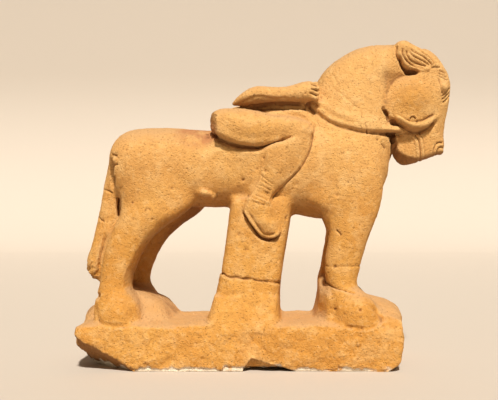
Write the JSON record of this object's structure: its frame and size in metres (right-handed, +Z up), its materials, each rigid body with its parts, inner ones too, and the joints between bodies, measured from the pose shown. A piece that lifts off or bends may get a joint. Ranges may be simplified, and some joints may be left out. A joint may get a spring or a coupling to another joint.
{
  "type": "stone equestrian statue",
  "caption": "Weathered stone horse with bowed head on a rough slab, propped by a pillar under the belly, with a broken rider's leg and rein hand carved on its flank.",
  "frame": {"origin": "centre of the slab's flat underside", "axes": "+X the way the horse faces, -Y its right side, which is the carved side seen in the picture, +Z up"},
  "size_m": [0.9266, 0.2806, 0.7909],
  "materials": {
    "limestone": "matt, weathered, carved"
  },
  "bodies": {
    "root": {"horse_and_rider": "limestone"}
  },
  "joints": []
}
